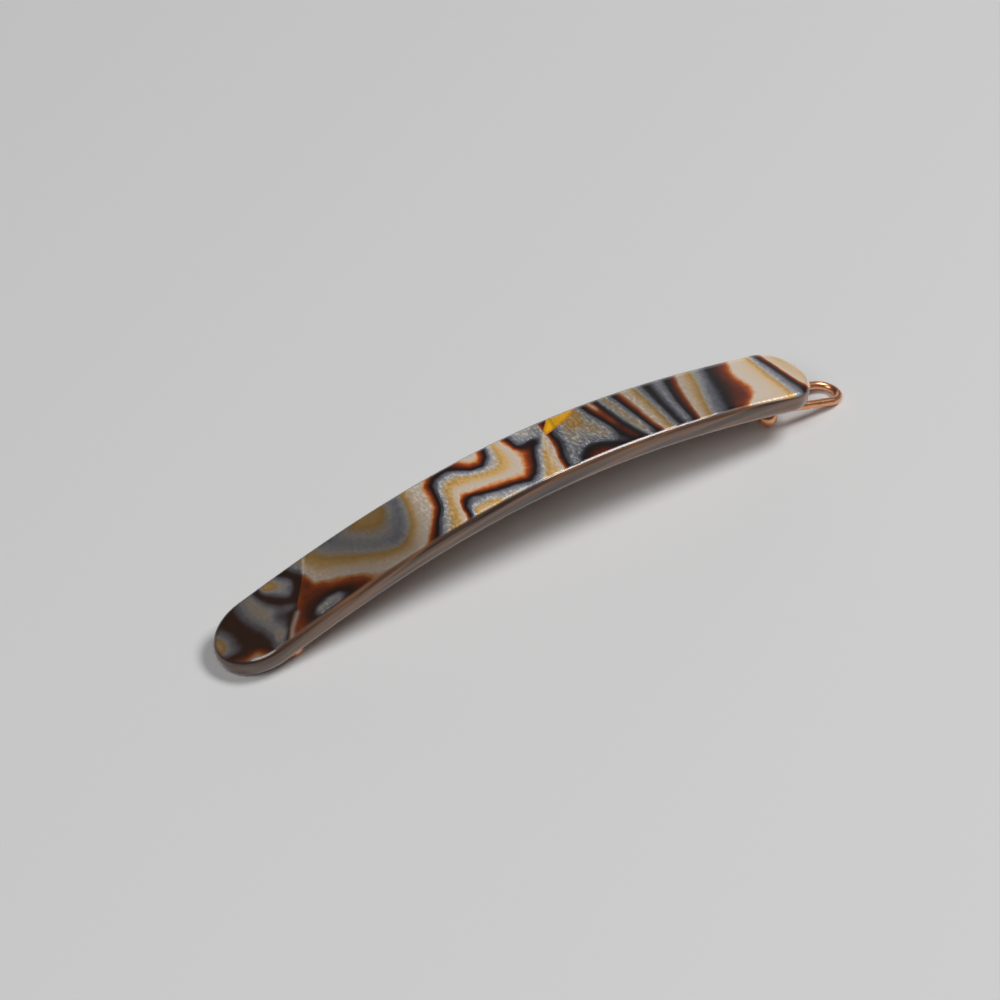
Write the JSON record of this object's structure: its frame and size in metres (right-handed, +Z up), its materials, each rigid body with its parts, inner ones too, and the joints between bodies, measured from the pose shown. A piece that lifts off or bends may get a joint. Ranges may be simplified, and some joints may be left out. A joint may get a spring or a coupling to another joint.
{
  "type": "hair barrette",
  "caption": "Slim arched hair barrette: marbled pearl acetate bar with round ends over a rose-gold wire loop, hinged at one end and snapped behind a ball stud at the other.",
  "frame": {"origin": "bottom centre of the bounding box, on the surface that the barrette rests on", "axes": "+X along the bar from the hinge end to the loop end, +Y across the bar, +Z up"},
  "size_m": [0.1048, 0.0116, 0.0139],
  "materials": {
    "acetate": "polished marbled pearl cellulose acetate, cream, gold, blue-grey and dark brown",
    "rose_gold": "polished rose-gold plate"
  },
  "bodies": {
    "bar": {"bar": "acetate", "hinge_bracket": "rose_gold", "hinge_rivet_1": "rose_gold", "hinge_rivet_2": "rose_gold", "ball_stud": "rose_gold"},
    "wire": {"wire_loop": "rose_gold"}
  },
  "joints": [
    {"name": "wire_hinge", "type": "hinge", "parent": "bar", "child": "wire", "pos_m": [-0.04228, 0, 0.00104], "axis": [0, 1, 0], "range_deg": [0, 75]}
  ]
}
